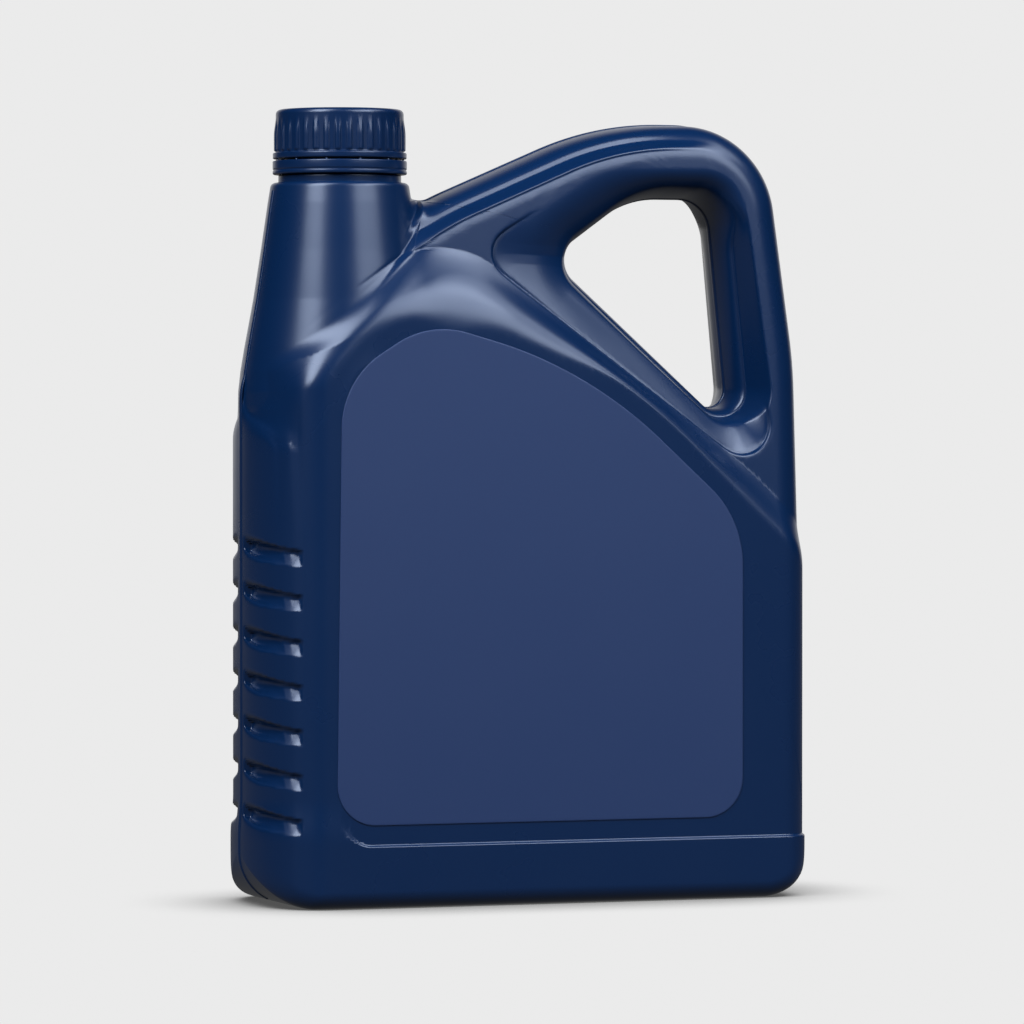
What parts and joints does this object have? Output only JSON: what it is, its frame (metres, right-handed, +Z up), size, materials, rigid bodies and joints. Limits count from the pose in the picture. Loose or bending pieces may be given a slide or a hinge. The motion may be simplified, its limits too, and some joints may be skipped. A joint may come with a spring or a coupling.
{
  "type": "motor oil bottle",
  "caption": "Flat upright jerrycan for motor oil with a built-in arch handle, an offset round neck, a ribbed screw cap and a blank front label.",
  "frame": {"origin": "on the floor under the middle of the bottle", "axes": "+Z up; the label faces -Y; the neck stands towards -X and the handle towards +X"},
  "size_m": [0.233, 0.0838, 0.3186],
  "materials": {
    "bottle_plastic": "navy satin polyethylene",
    "label_film": "satin printed film, one plain blue",
    "cap_plastic": "navy satin polypropylene",
    "liner_foam": "matt pale foam"
  },
  "bodies": {
    "bottle": {"bottle": "bottle_plastic", "label": "label_film", "tamper_band": "cap_plastic"},
    "liner": {"cap_liner": "liner_foam"},
    "cap": {"cap": "cap_plastic"}
  },
  "joints": [
    {"name": "cap_rise", "type": "slide", "parent": "bottle", "child": "liner", "axis": [0, 0, 1], "range_m": [0, 0.018]},
    {"name": "cap_turn", "type": "hinge", "parent": "liner", "child": "cap", "pos_m": [-0.0737, 0, 0.3], "axis": [0, 0, 1], "range_deg": [0, 1080]}
  ],
  "couplings": [
    {"joint": "cap_rise", "follows": "cap_turn", "m_per_rad": 0.00095493}
  ]
}
